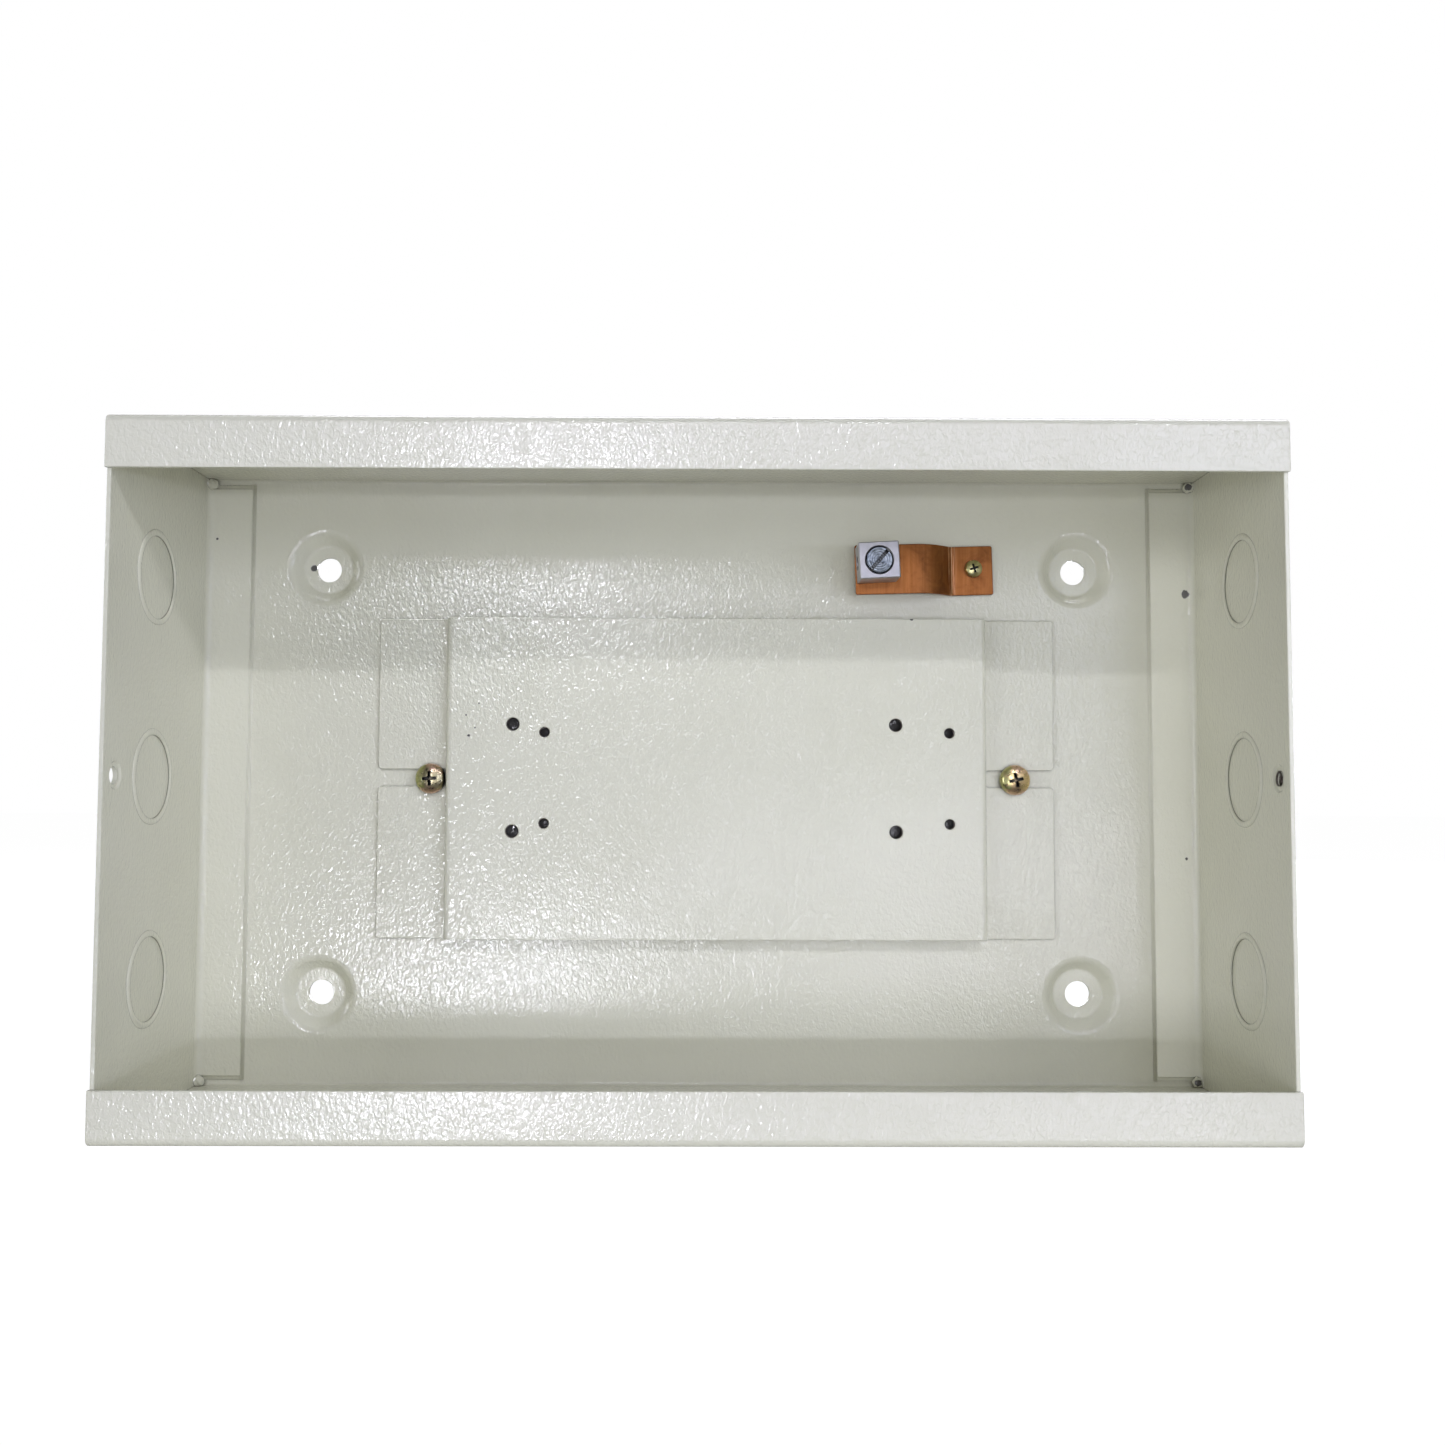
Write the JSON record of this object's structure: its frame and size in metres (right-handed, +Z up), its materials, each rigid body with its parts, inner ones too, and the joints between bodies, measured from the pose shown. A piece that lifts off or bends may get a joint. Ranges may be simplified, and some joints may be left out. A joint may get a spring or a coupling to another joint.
{
  "type": "residential load center",
  "caption": "Open sheet-steel load center enclosure with knockouts in its end walls, a raised device mounting plate and a copper ground strap with a wire lug.",
  "frame": {"origin": "on the wall, at the middle of the four wall-screw holes; the four dishes behind the back panel touch the plane Y = 0", "axes": "+X to the right seen from the front, +Y into the wall, +Z up; the box opens towards -Y"},
  "size_m": [0.3214, 0.0792, 0.195],
  "materials": {
    "enclosure_paint": "glossy textured powder coat, ivory grey",
    "yellow_zinc": "yellow zinc plated steel",
    "clear_zinc": "clear zinc plated steel, turned",
    "copper": "bare rolled copper, slightly tarnished",
    "aluminium": "satin extruded aluminium"
  },
  "bodies": {
    "enclosure": {"enclosure_body": "enclosure_paint", "side_panel_left": "enclosure_paint", "side_panel_right": "enclosure_paint", "ground_strap": "copper", "ground_lug": "aluminium", "lug_fixing_screw": "clear_zinc"},
    "mounting_plate": {"mounting_plate": "enclosure_paint"},
    "plate_screw_left": {"plate_screw_left": "yellow_zinc"},
    "plate_screw_right": {"plate_screw_right": "yellow_zinc"},
    "strap_screw": {"strap_screw": "yellow_zinc"},
    "lug_clamp_screw": {"lug_clamp_screw": "clear_zinc"},
    "knockout_left_bottom": {"knockout_left_bottom": "enclosure_paint"},
    "knockout_left_middle": {"knockout_left_middle": "enclosure_paint"},
    "knockout_left_top": {"knockout_left_top": "enclosure_paint"},
    "knockout_right_bottom": {"knockout_right_bottom": "enclosure_paint"},
    "knockout_right_middle": {"knockout_right_middle": "enclosure_paint"},
    "knockout_right_top": {"knockout_right_top": "enclosure_paint"}
  },
  "joints": [
    {"name": "plate_slide", "type": "slide", "parent": "enclosure", "child": "mounting_plate", "axis": [1, 0, 0], "range_m": [0, 0.0042]},
    {"name": "plate_screw_left_out", "type": "slide", "parent": "enclosure", "child": "plate_screw_left", "axis": [0, -1, 0], "range_m": [0, 0.01]},
    {"name": "plate_screw_right_out", "type": "slide", "parent": "enclosure", "child": "plate_screw_right", "axis": [0, -1, 0], "range_m": [0, 0.01]},
    {"name": "strap_screw_out", "type": "slide", "parent": "enclosure", "child": "strap_screw", "axis": [0, -1, 0], "range_m": [0, 0.008]},
    {"name": "clamp_screw_travel", "type": "slide", "parent": "enclosure", "child": "lug_clamp_screw", "axis": [0, 1, 0], "range_m": [-0.002, 0.004]},
    {"name": "knockout_left_bottom_push", "type": "slide", "parent": "enclosure", "child": "knockout_left_bottom", "axis": [-1, 0, 0], "range_m": [0, 0.015]},
    {"name": "knockout_left_middle_push", "type": "slide", "parent": "enclosure", "child": "knockout_left_middle", "axis": [-1, 0, 0], "range_m": [0, 0.015]},
    {"name": "knockout_left_top_push", "type": "slide", "parent": "enclosure", "child": "knockout_left_top", "axis": [-1, 0, 0], "range_m": [0, 0.015]},
    {"name": "knockout_right_bottom_push", "type": "slide", "parent": "enclosure", "child": "knockout_right_bottom", "axis": [1, 0, 0], "range_m": [0, 0.015]},
    {"name": "knockout_right_middle_push", "type": "slide", "parent": "enclosure", "child": "knockout_right_middle", "axis": [1, 0, 0], "range_m": [0, 0.015]},
    {"name": "knockout_right_top_push", "type": "slide", "parent": "enclosure", "child": "knockout_right_top", "axis": [1, 0, 0], "range_m": [0, 0.015]}
  ]
}
